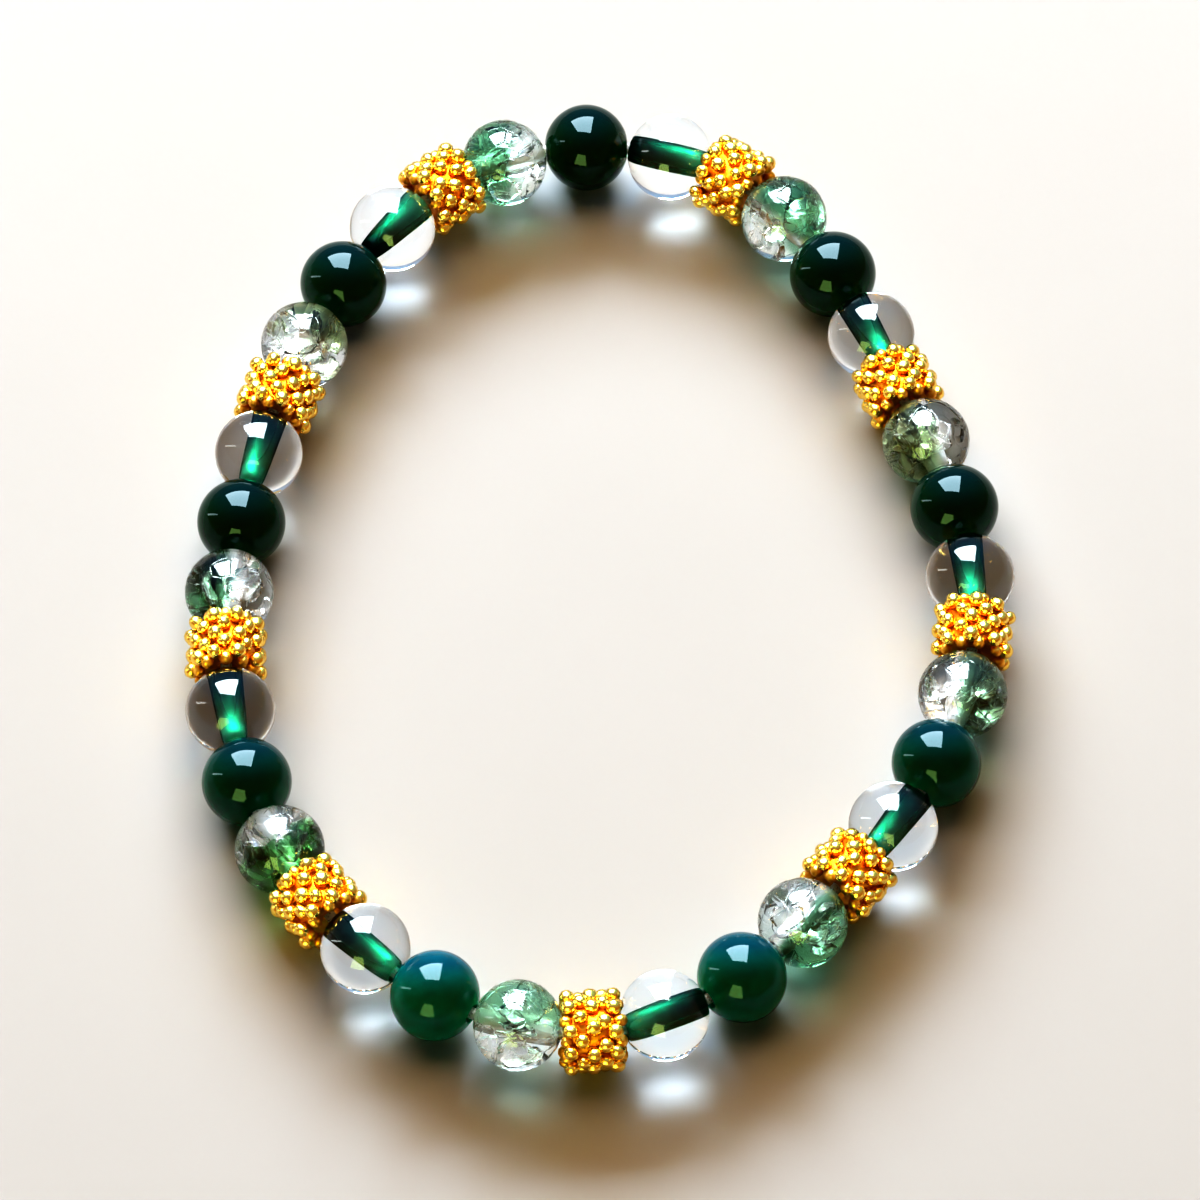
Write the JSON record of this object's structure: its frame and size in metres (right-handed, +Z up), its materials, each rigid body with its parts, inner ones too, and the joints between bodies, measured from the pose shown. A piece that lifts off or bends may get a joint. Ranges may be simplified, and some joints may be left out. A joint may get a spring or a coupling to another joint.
{
  "type": "bead bracelet",
  "caption": "Stretch bracelet of round glass beads and granulated gold spacers on clear elastic cord, lying flat as a closed loop.",
  "frame": {"origin": "middle of the bracelet's box, on the surface that it lies on", "axes": "+Z up, square to the loop; +Y along the loop's long way; +X across it"},
  "size_m": [0.0578, 0.0822, 0.0062],
  "materials": {
    "dark_glass": "polished, very dark bottle green",
    "clear_glass": "polished, colourless, with an emerald green lining in the hole",
    "crackle_glass": "polished outside, crackled inside, half clear and half green",
    "gold_plate": "polished gold plate",
    "clear_elastic": "clear stretch cord"
  },
  "bodies": {
    "root": {"dark_bead_1": "dark_glass", "lined_bead_1": "clear_glass", "gold_spacer_1": "gold_plate", "crackle_bead_1": "crackle_glass", "dark_bead_2": "dark_glass", "lined_bead_2": "clear_glass", "gold_spacer_2": "gold_plate", "crackle_bead_2": "crackle_glass", "dark_bead_3": "dark_glass", "lined_bead_3": "clear_glass", "gold_spacer_3": "gold_plate", "crackle_bead_3": "crackle_glass", "dark_bead_4": "dark_glass", "lined_bead_4": "clear_glass", "gold_spacer_4": "gold_plate", "crackle_bead_4": "crackle_glass", "dark_bead_5": "dark_glass", "lined_bead_5": "clear_glass", "gold_spacer_5": "gold_plate", "crackle_bead_5": "crackle_glass", "dark_bead_6": "dark_glass", "lined_bead_6": "clear_glass", "gold_spacer_6": "gold_plate", "crackle_bead_6": "crackle_glass", "dark_bead_7": "dark_glass", "lined_bead_7": "clear_glass", "gold_spacer_7": "gold_plate", "crackle_bead_7": "crackle_glass", "dark_bead_8": "dark_glass", "lined_bead_8": "clear_glass", "gold_spacer_8": "gold_plate", "crackle_bead_8": "crackle_glass", "dark_bead_9": "dark_glass", "lined_bead_9": "clear_glass", "gold_spacer_9": "gold_plate", "crackle_bead_9": "crackle_glass", "elastic_cord": "clear_elastic"}
  },
  "joints": []
}
